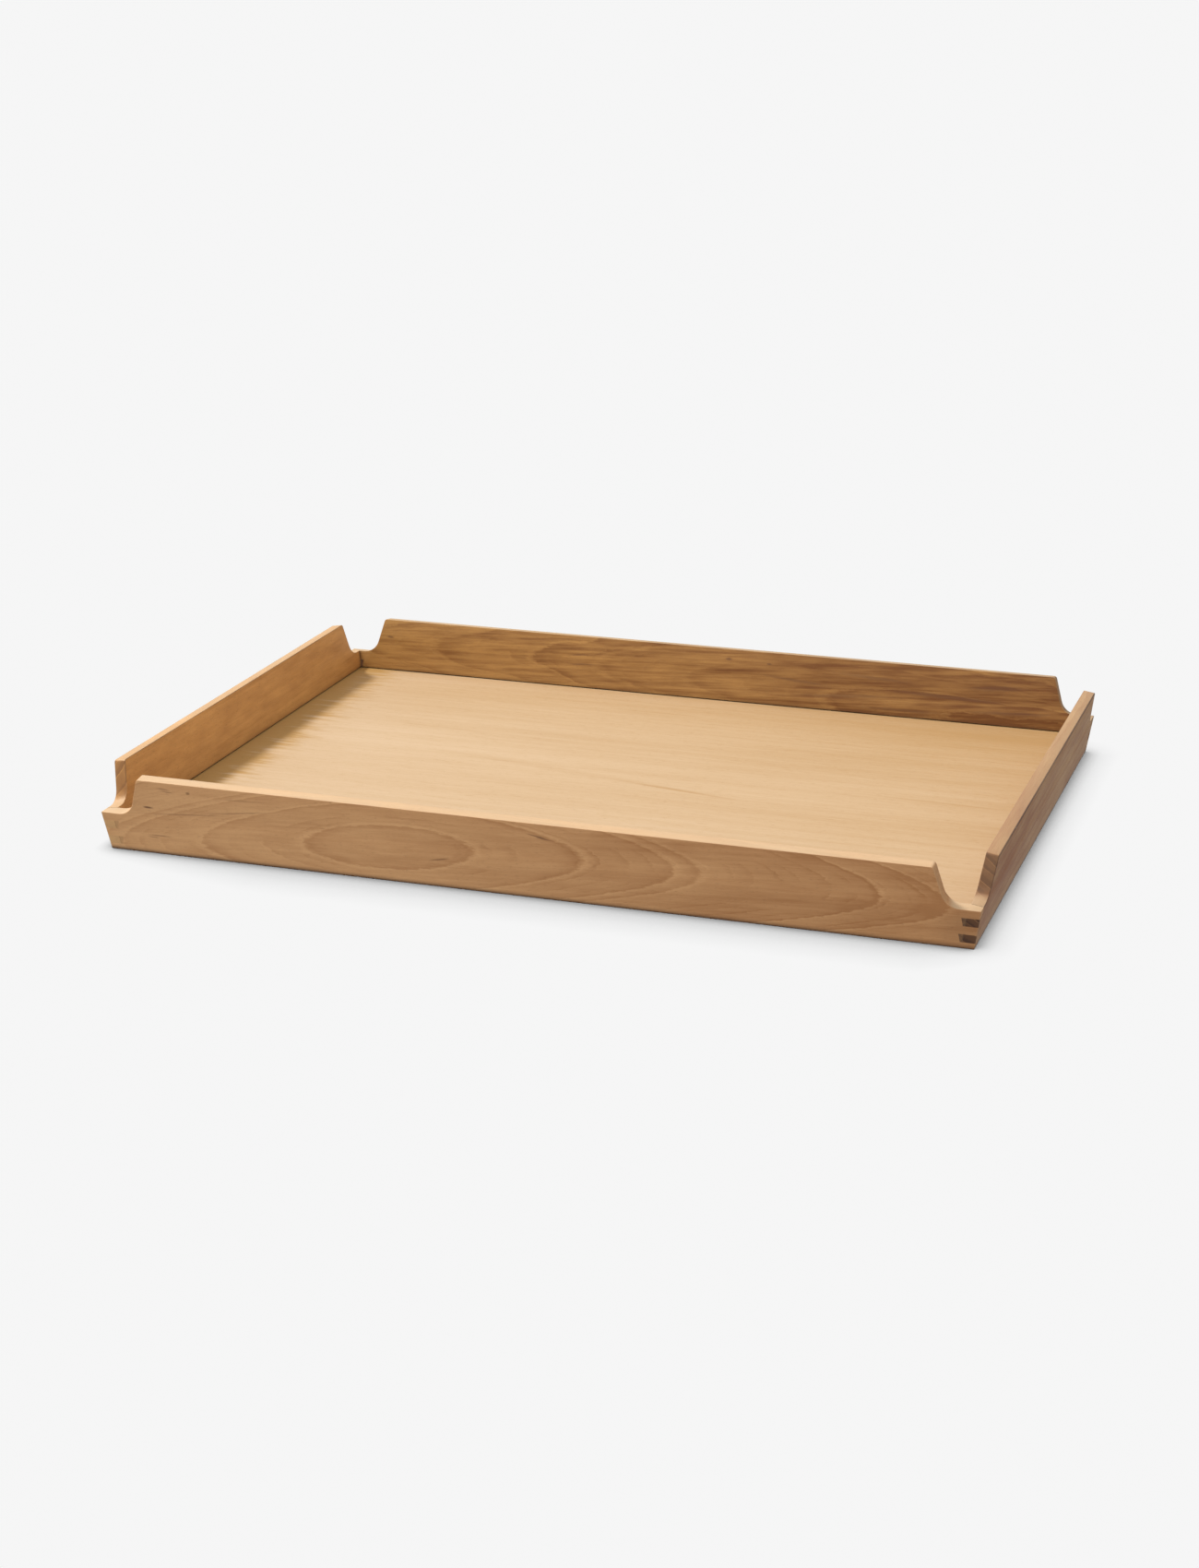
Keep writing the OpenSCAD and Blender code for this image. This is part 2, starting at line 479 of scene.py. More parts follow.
@shader_group(
    "Edge Tones",
    {
        "Board": ORIGIN,
        "Upward": 0.0,
        "Arris": 0.0,
        "Sawn": 0.0,
        "Shoulder": 0.0,
        "Cloud": 0.5,
        "Low Corner": 0.0225,
        "Thickness": 0.007,
        "Easing": 0.0007,
        "Board Width": 0.0455,
        "Top Bare": 0.7,
        "Shoulder Bare": 0.0,
        "Finger Bare": 0.0,
        "Outer Soil": 0.0,
        "Inner Soil": 0.0,
        "Foot Soil": 0.3,
    },
)
def edge_sanding_and_shading_group(write, given):
    """Planed edges, sawn ends and sanded arrises: how bare of oil they are, and how soiled the top edge's
    two arrises and the foot are, both from 0 to 1"""
    depth, up = write.split(given["Board"])[1:3]
    above = write.minus(up, given["Low Corner"])
    patchy = write.remap(given["Cloud"], 0.0, 1.0, 0.7, 1.0)
    # Upward faces get a painted highlight, with a share that changes from the low corners to the raised
    # tops
    top_share = write.remap(above, 4 * MM, 9 * MM, 0.75, given["Top Bare"])
    top_highlight = write.remap(given["Upward"], 0.6, 0.95, 0.0, top_share, smooth=True)
    edge_tones = write.most(top_highlight, write.times(given["Arris"], 0.18))
    # The notch walls' sawn ends get a painted highlight; the fingers' sawn ends are paler wood
    cut_share = write.remap(given["Shoulder"], 0.0, 1.0, given["Finger Bare"], given["Shoulder Bare"])
    edge_tones = write.most(edge_tones, write.times(given["Sawn"], cut_share))

    # Dark lines on the sanded arrises: painted shade on the outer ones, and a dark line on the inner one
    band = write.times(given["Easing"], 2.0)
    outer = write.times(write.remap(depth, 0.0, band, 1.0, 0.0), given["Outer Soil"])
    inner_start = write.minus(given["Thickness"], band)
    inner = write.remap(depth, inner_start, given["Thickness"], 0.0, given["Inner Soil"])
    inner = write.times(inner, write.math("GREATER_THAN", above, 15 * MM))
    dark_lines = write.times(write.most(outer, inner), given["Arris"])

    # Thin dark lines on the outer face: painted shade under its top arris, and a painted contact shadow
    # along its foot
    to_top = write.minus(given["Board Width"], up)
    top_line = write.remap(to_top, 0.9 * MM, 1.5 * MM, given["Outer Soil"], 0.0)
    foot_line = write.remap(up, 0.7 * MM, 1.3 * MM, given["Foot Soil"], 0.0)
    on_face = write.math("LESS_THAN", depth, 0.5 * MM)
    dark_lines = write.most(dark_lines, write.times(write.most(top_line, foot_line), on_face))
    return {"Bare": write.times(edge_tones, patchy), "Soil": write.times(dark_lines, patchy)}


def marks_on(write, board, marks):
    """The mask and the share of each mark, from (along, up, length, height, slope, share)"""
    for along, up, length, height, slope, share in marks:
        places = {"Along": float(along), "Up": float(up), "Length": float(length), "Height": float(height)}
        yield write.group(mark_group(), Board=board, Slope=slope, **places)["Mark"], share


def drawn_rings(write, radius, rings):
    """Rings given as (end, darkness, dark breadth) in millimetres: each one darkens over the last part of
    its width, ends in a thin pale line, and the next one starts"""
    reach = rings[-1][0] + 4.0
    stops = [(0.0, PLAIN_WOOD)]
    for end, dark, breadth in rings:
        stops.append(((end - breadth) / reach, MIDDLE))
        stops.append(((end - 0.6) / reach, 0.5 * dark + 0.15))
        stops.append(((end - 0.25) / reach, dark))
        stops.append((end / reach, 0.0))
        stops.append(((end + 0.5) / reach, 0.33))
    return write.ramp(write.math("DIVIDE", radius, reach), stops)


# Materials

def new_material(name):
    """An empty material, its formula and its Principled BSDF"""
    made = bpy.data.materials.new(name)
    made.use_nodes = True
    made.node_tree.nodes.clear()
    write = Formula(made.node_tree)
    surface = write.node("ShaderNodeBsdfPrincipled")
    output = write.node("ShaderNodeOutputMaterial")
    write.feed(output.inputs["Surface"], surface.outputs[0])
    return made, write, surface.inputs


def outer_arris(rail):
    """Height of the rail's outer top arris, from the rail's own box"""
    sizes = bpy.context.scene.tray_sizes
    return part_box(rail)[1].z - sizes.rail_thickness * math.sin(sizes.flare)


def foot_of(rail):
    """Distance from the tray's middle to the rail's outer face at the floor"""
    low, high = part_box(rail)
    axis = 1 if rail in LONG_RAILS else 0
    outermost = max(abs(low[axis]), abs(high[axis]))
    return outermost - outer_arris(rail) * math.tan(bpy.context.scene.tray_sizes.flare)


def board_coordinates(write, rail):
    """Place in the rail's own frame: along it, into it from its outer face, and up it from the floor"""
    turn = math.radians(RAIL_TURNS[rail])
    flare = bpy.context.scene.tray_sizes.flare
    foot = Matrix.Rotation(turn, 3, "Z") @ Vector((0, -foot_of(rail), 0))
    place = write.place()
    values = {"Vector": place, "Location": foot, "Rotation": (flare, 0, turn)}
    return write.node("ShaderNodeMapping", values, vector_type="TEXTURE").outputs[0]


def relief(write, surface, height, strength, distance):
    """Bumps a surface by a height from 0 to 1, over a distance in metres"""
    bump = write.node("ShaderNodeBump", {"Strength": strength, "Distance": distance, "Height": height})
    write.feed(surface["Normal"], bump.outputs[0])


def teak(
    rail,
    rings,
    tint,
    growth=None,
    marks=(),
    offset=ORIGIN,
    slope=0.0,
    figure=0.55,
    streak=0.32,
    mottle=0.14,
    ends=None,
    edging=None,
    most_dirt=0.88,
):
    """Oiled teak for one rail. growth, ends and wear set the Growth, End Grain and Edge Wear groups. rings
    are one width in millimetres or a list for drawn_rings, marks go to marks_on, and tint is the share of
    dark wood at the board's two ends"""
    look = bpy.context.scene.teak_look
    sizes = bpy.context.scene.tray_sizes
    pale, dark = (getattr(look, rail.replace("rail", wood)) for wood in ("pale", "dark"))
    made, write, surface = new_material(f"teak_{rail}")
    board = board_coordinates(write, rail)
    along, _, up_board = write.split(board)[:3]
    grain = write.group(fibre_group(), Board=board, Offset=offset, Slope=slope)
    radius = write.group(growth_group(), Board=board, **(growth or {}))["Radius"]
    if isinstance(rings, float):
        ring = write.group(even_rings_group(), Radius=radius, Width=rings)["Ring"]
    else:
        ring = drawn_rings(write, radius, rings)

    fine = write.group(even_rings_group(), Radius=radius, Width=FINE_RING)["Ring"]
    patches = write.remap(write.fibrous(write.scaled(board, 1 / MM), 60, 12, 2), 0.42, 0.62, smooth=True)
    fine = write.times_plus(write.minus(fine, MIDDLE), patches, MIDDLE)

    half_length = max(abs(v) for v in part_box(rail)[1][:2])
    tone = write.remap(along, -half_length, half_length, *tint)
    for value, swing in (
        (ring, figure),
        (fine, figure * 0.55),
        (grain["Streak"], streak),
        (grain["Fibre"], 0.16),
        (grain["Cloud"], 0.35),
        (grain["Mottle"], mottle),
    ):
        tone = write.times_plus(write.minus(value, MIDDLE), swing, tone)
    colour = write.mix(write.clamped(tone), pale, dark)

    # Pores crowd into the pale start of each ring
    crowd = write.remap(ring, 0.0, 0.6, 1.0, 0.45)
    pores = write.times(grain["Pores"], crowd)
    colour = write.mix(write.times(pores, 0.38), colour, look.pore)
    pins = 0.0
    for mark, dark_share in marks_on(write, board, marks):
        pins = write.most(pins, write.times(mark, dark_share))
    colour = write.mix(pins, colour, look.pore) if marks else colour

    # End grain drinks more oil, and glue stains the fingers' ends
    low_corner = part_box("front_right_filler")[1].z
    normal = write.split(write.place("Normal"))
    shoulder = write.remap(up_board, low_corner, low_corner + MM)
    cut = write.group(
        end_grain_group(),
        Across=write.math("ABSOLUTE", normal[0] if rail in LONG_RAILS else normal[1]),
        Ring=ring,
        Shoulder=shoulder,
        **(ends or {}),
    )
    colour = write.mix(cut["Oil"], colour, look.pore)
    colour = write.mix(cut["Glue"], colour, look.glue)

    # The top edges and the notch walls get a painted highlight and the sanded arrises are paler wood; the
    # outer arrises and the foot get
    #     # painted shade lines, the inner arris a dark line
    edge_tones = write.group(
        edge_sanding_and_shading_group(),
        Board=board,
        Upward=normal[2],
        Arris=write.node("ShaderNodeAttribute", attribute_name=ARRIS).outputs["Fac"],
        Sawn=cut["Sawn"],
        Shoulder=shoulder,
        Cloud=grain["Cloud"],
        Low_Corner=low_corner,
        Thickness=sizes.rail_thickness,
        Easing=sizes.easing,
        Board_Width=outer_arris(rail) / math.cos(sizes.flare),
        **(edging or {}),
    )
    colour = write.mix(edge_tones["Bare"], colour, look.bare_and_highlight)
    colour = write.mix(edge_tones["Soil"], colour, look.glue)
    # Painted shade in the crevices where the pieces meet, in the glue colour
    crevice_shade = write.group(crevice_group(), Reach=CREVICE_REACH, Spread=0.9, Most_Dirt=most_dirt)["Dirt"]
    write.feed(surface["Base Color"], write.mix(crevice_shade, colour, look.glue))

    rough = write.times_plus(pores, 0.2, look.roughness)
    rough = write.times_plus(grain["Fibre"], 0.08, rough)
    write.feed(surface["Roughness"], write.times_plus(cut["Sawn"], 0.15, rough))
    height = write.times_plus(pores, -1.0, write.times(grain["Fibre"], 0.35))
    height = write.times_plus(ring, 0.3, height)
    relief(write, surface, height, strength=0.5, distance=0.00012)
    surface["IOR"].default_value = WOOD_IOR
    surface["Specular IOR Level"].default_value = 0.42
    return made


# The wood of each rail, as teak takes it
TEAK = {
    # One closed flame left of the middle, and its tips pointing right
    "front_rail": {
        "rings": (
            (2.3, 0.85, 1.0),
            (8.1, 0.75, 1.6),
            (13.4, 0.75, 2.0),
            (15.0, 0.65, 0.8),
            (25.6, 1.0, 3.4),
            (29.6, 1.0, 2.4),
        ),
        "marks": (
            (-220, 29, 7, 1.5, -0.05, 0.85),
            (-209, 41.5, 9, 1.3, -0.08, 0.45),
            (-207, 40.0, 9, 1.0, -0.05, 0.45),
            (-194, 40.5, 3, 1.6, 0.0, 0.6),
            (-215, 11.5, 16, 1.1, 0.0, 0.5),
            (-219, 10.2, 9, 0.9, 0.0, 0.5),
            (-196, 27, 46, 1.1, 0.08, 0.35),
            (-164, 31.5, 46, 1.0, 0.13, 0.35),
            (-160, 39.5, 30, 1.0, 0.04, 0.3),
            (13, 37.5, 16, 1.3, -0.2, 0.7),
            (-46, 17, 12, 1.4, 0.2, 0.6),
            (246, 10, 44, 30.0, 0.0, 0.2),
        ),
        "tint": (0.06, 0.66),
        "slope": 0.06,
        "figure": 0.8,
        # Its notch walls get a painted highlight
        "edging": {"Shoulder_Bare": 0.25},
    },
    # Dark and reddish, with a broad flame at its left and wavy streaks at its right
    "back_rail": {
        "growth": {
            "Pith_Height": 30.0,
            "Pith_Depth": -28.0,
            "Bow": 0.00017,
            "Bow_Centre": 160.0,
            "Flame_Centre": -240.0,
            "Flame_Length": 150.0,
            "Taper": 0.075,
            "Wander": 12.0,
            "Jag": 1.0,
        },
        "rings": 4.2,
        "marks": (
            (221, 34, 6, 2.0, 0.1, 0.6),
            (-15, 39, 5, 2.4, 0.0, 0.7),
            (-42, 38, 4, 1.6, 0.0, 0.7),
            (86, 33, 20, 1.2, -0.08, 0.6),
            (84, 27, 22, 1.0, -0.04, 0.6),
            (-190, 35, 40, 4.2, -0.06, 0.45),
            (-160, 27, 80, 3.2, 0.03, 0.45),
            (-200, 20, 60, 2.8, -0.04, 0.45),
            (-110, 35, 54, 2.6, 0.05, 0.4),
            (-95, 22, 70, 2.8, -0.06, 0.4),
            (-60, 29, 50, 2.2, 0.08, 0.4),
            (-130, 16, 70, 2.4, 0.0, 0.4),
        ),
        "offset": (310.0, 40.0, 12.0),
        "tint": (0.7, -0.06),
        "slope": -0.05,
        "streak": 0.8,
        "mottle": 0.25,
        # Painted highlight on its notch walls and its top edge
        "edging": {"Shoulder_Bare": 0.3, "Top_Bare": 0.55},
    },
    # Even, warm and straight in the grain
    "left_rail": {
        "growth": {
            "Pith_Height": 70.0,
            "Pith_Depth": -30.0,
            "Bow": 0.00005,
            "Bow_Centre": 0.0,
            "Flame_Centre": 20.0,
            "Flame_Length": 160.0,
            "Taper": 0.03,
            "Wander": 4.0,
        },
        "rings": 5.5,
        "offset": (120.0, 90.0, 50.0),
        "tint": (0.28, 0.2),
        "figure": 0.2,
        "streak": 0.16,
        "mottle": 0.4,
        "ends": {"Shoulder_Oil": 0.62, "Finger_Oil": 0.0},
        # Paler fingers' ends, a painted highlight on its top edge, painted shade along its outer arrises
        # and a dark line along its inner arris
        "edging": {"Finger_Bare": 0.4, "Top_Bare": 0.5, "Outer_Soil": 0.2, "Inner_Soil": 0.6},
        # Painted shade in its crevices, lighter than on the other rails
        "most_dirt": 0.6,
    },
    # Low in contrast, with rings across its front end
    "right_rail": {
        "growth": {
            "Pith_Height": 150.0,
            "Pith_Depth": -60.0,
            "Bow": 0.00006,
            "Bow_Centre": -150.0,
            "Flame_Centre": -150.0,
            "Flame_Length": 140.0,
            "Taper": 0.04,
            "Wander": 4.0,
        },
        "rings": 5.0,
        "offset": (520.0, 10.0, 77.0),
        # It is lighter and greyer towards its back end: painted sheen
        "tint": (0.86, 0.5),
        "figure": 0.3,
        "streak": 0.12,
        "mottle": 0.12,
        "ends": {"Shoulder_Oil": 1.0, "Finger_Oil": 1.0, "Finger_Glue": 0.78},
        # Painted highlight on its notch walls and top edge, painted shade along its outer arrises, a dark
        # line along its inner arris, and a painted contact shadow along its foot
        "edging": {
            "Shoulder_Bare": 0.08,
            "Top_Bare": 0.28,
            "Outer_Soil": 0.8,
            "Inner_Soil": 0.2,
            "Foot_Soil": 0.6,
        },
    },
}


def veneer(name, pale, dark, across=False, offset=ORIGIN, marks=(), depth=1.0, left_shadow=0.0):
    """Straight-grained veneer. across turns its grain to run from front to back, depth scales its figure,
    and oiled_edge is the share of oil along its left edge, where it has crept in from the rail"""
    look = bpy.context.scene.veneer_look
    made, write, surface = new_material(name)
    place = write.place()
    turn = math.radians(90) if across else 0.0
    values = {"Vector": place, "Rotation": (math.radians(90), 0, turn)}
    board = write.node("ShaderNodeMapping", values, vector_type="TEXTURE").outputs[0]
    flipped = write.vector("MULTIPLY", board, (1, 1, -1))
    grain = write.group(fibre_group(), Board=flipped, Offset=offset, Pore_Level=0.66)
    sheet = write.vector("ADD", write.scaled(flipped, 1 / MM), offset)
    ribbon = write.remap(write.fibrous(sheet, 420, 5.5, 3, 0.55), 0.35, 0.65)
    broad = write.remap(write.fibrous(sheet, 260, 60, 2), 0.3, 0.7)
    fleck = write.remap(write.fibrous(sheet, 6, 0.8, 1), 0.62, 0.72, smooth=True)

    # The panel is darker towards its right, and towards its back, where the darkening is painted shade from
    # the back rail
    low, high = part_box("base_top_veneer")
    to_right, to_back = write.split(place)[:2]
    rear = write.remap(to_back, low.y, high.y, -0.12, 0.36)
    tone = write.times_plus(to_right, 0.28 / high.x, rear)
    for value, swing in (
        (ribbon, 0.16),
        (broad, 0.2),
        (grain["Streak"], 0.12),
        (grain["Fibre"], 0.12),
        (fleck, 0.22),
    ):
        tone = write.times_plus(value, swing * depth, tone)
    for mark, dark_share in marks_on(write, flipped, marks):
        tone = write.times_plus(mark, dark_share, tone)
    colour = write.mix(write.clamped(tone), pale, dark)

    # Painted shadow along the left rail: a yellow-brown strip with a ragged edge along the grain, where the
    # rail's shade falls on the veneer
    past = write.minus(to_right, low.x)
    ragged = write.times_plus(write.fibrous(sheet, 26, 3.4, 3, 0.6), 0.07, past)
    oiled = write.remap(ragged, 0.050, 0.074, left_shadow, 0.0, smooth=True)
    colour = write.mix(oiled, colour, look.oil)
    # A darkened veneer colour, for the pores and for the painted shade in the crevices
    shade = [c * 0.45 for c in dark]
    colour = write.mix(write.times(grain["Pores"], 0.22), colour, shade)
    # Painted shade in the crevices along the rails
    crevice_shade = write.group(crevice_group(), Reach=CREVICE_REACH, Spread=0.75)["Dirt"]
    write.feed(surface["Base Color"], write.mix(crevice_shade, colour, shade))
    rough = write.times_plus(grain["Fibre"], 0.10, look.roughness)
    write.feed(surface["Roughness"], write.times_plus(grain["Pores"], 0.15, rough))
    height = write.times_plus(grain["Pores"], -1.0, write.times(grain["Fibre"], 0.4))
    relief(write, surface, height, strength=0.4, distance=0.00008)
    surface["IOR"].default_value = WOOD_IOR
    surface["Specular IOR Level"].default_value = 0.4
    return made


def filler_material():
    """Dark filler: wood dust in glue, slightly grainy"""
    look = bpy.context.scene.filler_look
    made, write, surface = new_material("joint_filler")
    place = write.scaled(write.place(), 1 / MM)
    dust = write.remap(write.noise(write.scaled(place, 2.2), 4.0, 0.65), 0.35, 0.65)
    patch = write.remap(write.noise(write.scaled(place, 0.5), 2.0), 0.35, 0.65)
    mixed = write.times_plus(patch, 0.2, write.times(dust, 0.2))

    # It is thin, and paler, towards the front left corner
    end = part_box("front_right_filler")[0].x / MM
    across, back = write.split(place)[:2]
    in_front = write.math("LESS_THAN", back, 0.0)
    thin = write.times(write.remap(across, -end, end, 0.9, 0.0), in_front)
    mixed = write.math("ADD", mixed, thin, clamp=True)
    write.feed(surface["Base Color"], write.mix(mixed, look.colour, look.thin_colour))
    write.feed(surface["Roughness"], write.times_plus(dust, 0.15, look.roughness))
    relief(write, surface, dust, strength=0.6, distance=0.0001)
    return made


# Pieces

def new_object(name, data):
    """A new object in the scene"""
    made = bpy.data.objects.new(name, data)
    bpy.context.scene.collection.objects.link(made)
    return made


def finish_piece(piece, material, slot, *nodes):
    """Gives a piece its material, and lets it ride in place of its CAD nodes"""
    piece.data.materials.clear()
    piece.data.materials.append(material)
    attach(piece, BODY)
    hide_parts(*nodes)
    return piece


def neighbours_surface(rail):
    """Search tree over every CAD node except the rail"""
    points = []
    faces = []
    for name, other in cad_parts.items():
        if name == rail:
            continue
        first = len(points)
        points += [v.co.copy() for v in other.data.vertices]
        faces += [[first + i for i in face.vertices] for face in other.data.polygons]
    return BVHTree.FromPolygons(points, faces)


def easing_share(edge, touching, groove_top):
    """How much of the full easing an edge gets: none in a joint, a little along the groove's lip"""
    sizes = bpy.context.scene.tray_sizes
    if len(edge.link_faces) != 2 or any(face in touching for face in edge.link_faces):
        return 0.0
    if not edge.is_convex or edge.calc_face_angle() < SOFT_EDGE_ANGLE:
        return 0.0
    if any(abs(v.co.z - groove_top) > CONTACT_GAP for v in edge.verts):
        return 1.0
    return sizes.groove_easing / sizes.easing


def eased_rail(rail):
    """The rail's board with its exposed arrises sanded round. A face that touches a neighbour keeps its
    edges"""
    sizes = bpy.context.scene.tray_sizes
    work = bmesh.new()
    work.from_mesh(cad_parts[rail].data)
    bmesh.ops.remove_doubles(work, verts=work.verts, dist=MERGE_GAP)
    bmesh.ops.dissolve_limit(work, angle_limit=FLAT_ANGLE, verts=work.verts, edges=work.edges)
    others = neighbours_surface(rail)
    touching = set()
    for face in work.faces:
        place, normal, _, gap = others.find_nearest(face.calc_center_median_weighted())
        if gap < CONTACT_GAP and normal.dot(face.normal) < FACE_TO_FACE:
            touching.add(face)
    groove_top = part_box("base_top_veneer")[1].z + GROOVE_GAP
    weight = work.edges.layers.float.new("bevel_weight_edge")
    for face in work.faces:
        face.smooth = True
    for edge in work.edges:
        edge[weight] = easing_share(edge, touching, groove_top)
        edge.smooth = edge[weight] > 0 or edge.calc_face_angle(0.0) < SOFT_EDGE_ANGLE
    board = bpy.data.meshes.new(f"{rail}_board")
    work.to_mesh(board)
    work.free()

    source = new_object(f"{rail}_source", board)
    for name in ("wood", "arris"):
        board.materials.append(bpy.data.materials.new(f"{rail}_{name}"))
    bevel = source.modifiers.new("Easing", "BEVEL")
    bevel.limit_method = "WEIGHT"
    bevel.width = sizes.easing
    bevel.segments = EASE_SEGMENTS
    bevel.harden_normals = True
    bevel.material = 1
    piece = plain_copy(source, f"{rail}_eased")
    on_arris = [float(face.material_index == 1) for face in piece.data.polygons]
    piece.data.polygons.foreach_set("material_index", [0] * len(on_arris))
    piece.data.attributes.new(ARRIS, "FLOAT", "FACE").data.foreach_set("value", on_arris)
    return piece


def plain_copy(source, name):
    """The source with its modifiers in its mesh, as a new object. The source is removed"""
    shown = source.evaluated_get(bpy.context.evaluated_depsgraph_get())
    mesh = bpy.data.meshes.new_from_object(shown)
    mesh.name = name
    piece = new_object(name, mesh)
    bpy.data.objects.remove(source)
    return piece


def filler_tree():
    """Geometry nodes for the eight filler plugs: two sockets at each of the four corners"""
    tree, write, given = node_group(
        "Filler Plugs",
        "GeometryNodeTree",
        [
            ("Corner Levels", "NodeSocketInt", 2),
            ("First Level", FLOAT, 0.0035),
            ("Level Step", FLOAT, 0.0095),
            ("Finger Height", FLOAT, 0.00475),
            ("Foot Width", FLOAT, 0.001),
            ("Foot X", FLOAT, 0.24),
            ("Foot Y", FLOAT, 0.17),
            ("Level Thickness", FLOAT, 0.0071),
            ("Lean", FLOAT, 0.158),
            ("Filler", "NodeSocketMaterial", None),
        ],
    )
    # Unit blocks stand one over the other; a field keeps each block's own level
    unit = write.geometry("MeshCube", Size=(1, 1, 1), Vertices_X=5, Vertices_Y=5, Vertices_Z=7)
    block = write.geometry("Transform", Geometry=unit, Translation=(0.5, 0.5, 0.5))
    line = write.geometry("MeshLine", Count=given["Corner Levels"], Offset=(0, 0, 2))
    stacked = write.geometry("InstanceOnPoints", Points=line, Instance=block)
    blocks = write.geometry("RealizeInstances", Geometry=stacked)
    place = write.split(write.geometry("InputPosition"))
    storey = write.math("FLOOR", write.times_plus(place[2], 0.5, STOREY_NUDGE))
    share = write.minus(place[2], write.times(storey, 2.0))
    level = write.times_plus(storey, given["Level Step"], given["First Level"])
    rise = write.times(share, given["Finger Height"])
    height = write.plus(level, rise)

    # The end rail's inner face leans outwards and the socket's root leans back, so a plug is a wedge
    inner_x = write.times_plus(height, given["Lean"], given["Foot X"])
    inner_x = write.minus(inner_x, given["Level Thickness"])
    spread = write.times(write.times(rise, given["Lean"]), 2.0)
    width = write.plus(given["Foot Width"], spread)
    x = write.minus(inner_x, write.times(place[0], width))
    outer_y = write.times_plus(height, given["Lean"], given["Foot Y"])
    y = write.times_plus(place[1], given["Level Thickness"], write.times(outer_y, -1.0))
    wedges = write.geometry("SetPosition", Geometry=blocks, Position=write.joined(x, y, height))

    # x runs against the block's own x, so the faces are turned back, and again on each mirrored corner
    corners = write.node("GeometryNodeJoinGeometry")
    for side, end in ((1, 1), (-1, 1), (-1, -1), (1, -1)):
        mirrored = write.geometry("Transform", Geometry=wedges, Scale=(side, end, 1))
        if side * end > 0:
            mirrored = write.geometry("FlipFaces", Mesh=mirrored)
        write.feed(corners.inputs["Geometry"], mirrored)
    plain = write.geometry("RealizeInstances", Geometry=corners.outputs["Geometry"])
    painted = write.geometry("SetMaterial", Geometry=plain, Material=given["Filler"])
    give(write, "NodeSocketGeometry", {"Plugs": painted})
    return tree


def set_inputs(modifier, values):
    """Sets a geometry nodes modifier's inputs by their sockets' identifiers"""
    for socket in modifier.node_group.interface.items_tree:
        if socket.item_type == "SOCKET" and socket.in_out == "INPUT" and socket.name in values:
            modifier[socket.identifier] = values[socket.name]


# Operators

class TRAY_OT_long_rails(bpy.types.Operator):
    """Makes the front and back rails"""

    bl_idname = "tray.long_rails"
    bl_label = "Long Rails"

    def execute(self, context):
        for rail in LONG_RAILS:
            finish_piece(eased_rail(rail), teak(rail, **TEAK[rail]), "long_rail_wood", rail)
        return {"FINISHED"}


class TRAY_OT_end_rails(bpy.types.Operator):
    """Makes the left and right rails"""

    bl_idname = "tray.end_rails"
    bl_label = "End Rails"

    def execute(self, context):
        for rail in END_RAILS:
            finish_piece(eased_rail(rail), teak(rail, **TEAK[rail]), "end_rail_wood", rail)
        return {"FINISHED"}


class TRAY_OT_base_panel(bpy.types.Operator):
    """Veneers the base panel's three plies"""

    bl_idname = "tray.base_panel"
    bl_label = "Base Panel"

    def execute(self, context):
        look = context.scene.veneer_look
        # The veneer's dark lines, as (along, up, length, height, slope, share of dark wood)
        lines = (
            (-40, 2, 210, 9.0, -0.17, 0.16),
            (38, -12.5, 85, 3.4, -0.17, 0.4),
            (-20, 131, 70, 3.0, 0.0, 0.25),
            (190, 12, 80, 2.6, -0.04, 0.25),
            (-140, 60, 90, 3.0, -0.03, 0.2),
        )
        materials = {
            "base_core": veneer("core_ply", look.core, look.dark, across=True, depth=1.4),
            # The top veneer carries the left rail's painted shadow
            "base_top_veneer": veneer("top_veneer", look.pale, look.dark, marks=lines, left_shadow=0.95),
            "base_bottom_veneer": veneer(
                "bottom_veneer", look.pale, look.dark, offset=(700.0, 0.0, 350.0), depth=1.2
            ),
        }
        for ply in PLIES:
            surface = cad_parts[ply].data
            surface.materials.clear()
            surface.materials.append(materials[ply])
        return {"FINISHED"}


class TRAY_OT_joint_filler(bpy.types.Operator):
    """Fills the over-cut sockets of the corner joints"""

    bl_idname = "tray.joint_filler"
    bl_label = "Joint Filler"

    def execute(self, context):
        sizes = context.scene.tray_sizes
        low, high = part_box("front_right_filler")
        source = new_object("filler_source", bpy.data.meshes.new("filler_source"))
        plugs = source.modifiers.new("Filler", "NODES")
        plugs.node_group = filler_tree()
        material = filler_material()
        set_inputs(
            plugs,
            {
                "First Level": low.z,
                "Level Step": 2 * sizes.finger_height,
                "Finger Height": sizes.finger_height,
                "Foot Width": sizes.filler_foot,
                "Foot X": foot_of("right_rail"),
                "Foot Y": foot_of("front_rail"),
                "Level Thickness": sizes.rail_thickness / math.cos(sizes.flare),
                "Lean": math.tan(sizes.flare),
                "Filler": material,
            },
        )
        piece = plain_copy(source, "joint_filler_plugs")
        finish_piece(piece, material, "joint_filler", *CORNER_FILLERS)
        return {"FINISHED"}


class TRAY_OT_studio(bpy.types.Operator):
    """Sets up the floor, the lights and the camera"""

    bl_idname = "tray.studio"
    bl_label = "Studio"

    def execute(self, context):
        studio = context.scene.tray_studio
        pale_floor(studio)
        room_light(context, studio)
        key_light(studio)
        tray_camera(context, studio)
        context.scene.view_settings.view_transform = "Standard"
        return {"FINISHED"}


FLOOR_RADIUS = 40.0
SHADOW_FALLOFF = 1.5
SHADOW_STARTS = (-0.26, -0.15)
SHADOW_NARROWS = (0.225, 0.25)
CONTACT_REACH = 0.01
FLOOR_SIDES = 96


def direction(azimuth, elevation):
    """Unit vector towards a place round from the front towards the right, and above the horizon"""
    level = math.cos(elevation)
    return Vector((math.sin(azimuth) * level, -math.cos(azimuth) * level, math.sin(elevation)))


